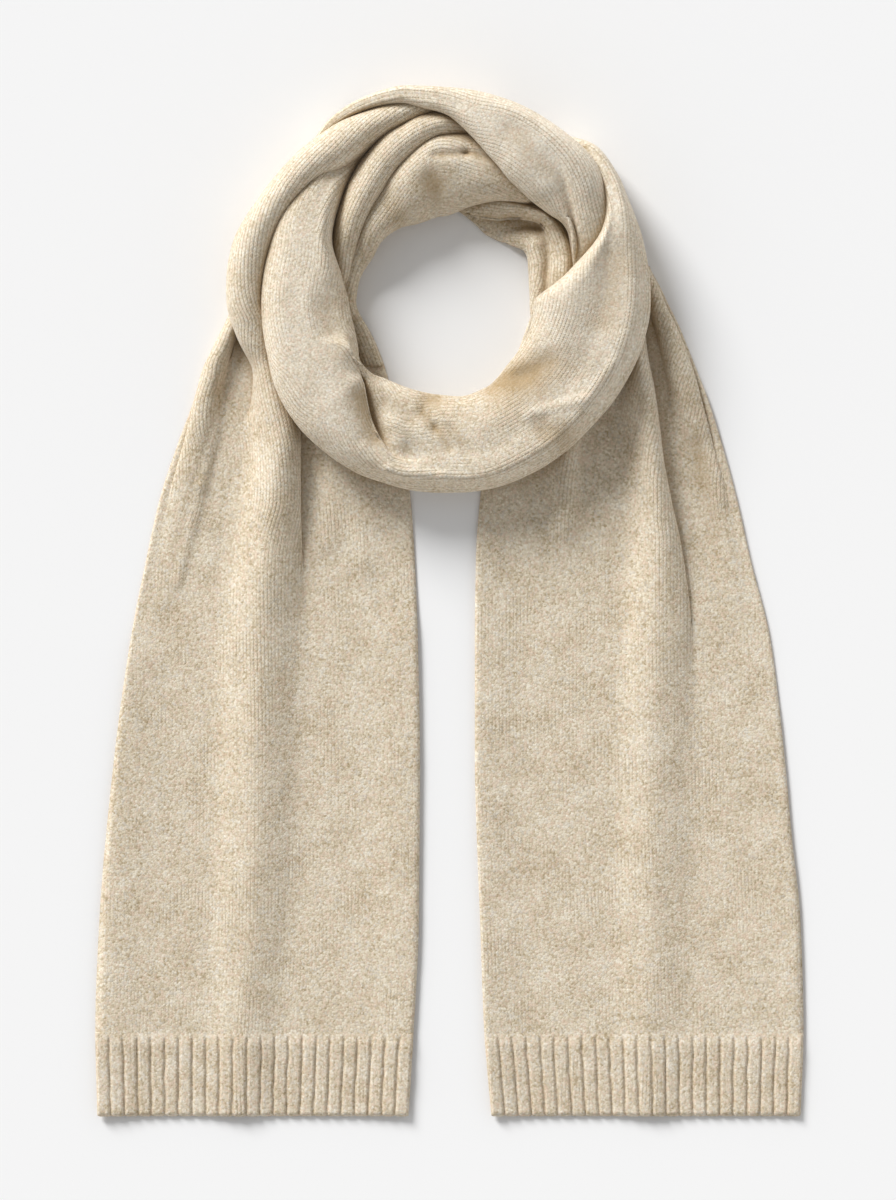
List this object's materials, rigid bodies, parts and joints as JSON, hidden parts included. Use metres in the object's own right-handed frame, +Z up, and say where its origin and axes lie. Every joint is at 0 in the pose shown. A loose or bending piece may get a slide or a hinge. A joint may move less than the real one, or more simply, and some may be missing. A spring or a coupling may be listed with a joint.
{
  "type": "knit scarf",
  "caption": "Knitted wool scarf with ribbed ends, laid flat and wound once into a ring with both ends hanging side by side.",
  "frame": {"origin": "under the middle of the scarf's box, on the surface it lies on", "axes": "+Z up off the surface, +Y from the hems towards the top of the ring, +X across the two ends"},
  "size_m": [0.683, 0.9911, 0.0703],
  "materials": {
    "knit_wool": "brushed melange stockinette",
    "rib_wool": "melange rib knit"
  },
  "bodies": {
    "root": {"hem_left": "rib_wool", "hem_right": "rib_wool", "end_left": "knit_wool", "end_right": "knit_wool", "wrap_left": "knit_wool", "wrap_over": "knit_wool", "front_loop": "knit_wool", "fold_left": "knit_wool", "neck_back": "knit_wool", "neck_under": "knit_wool"}
  },
  "joints": []
}
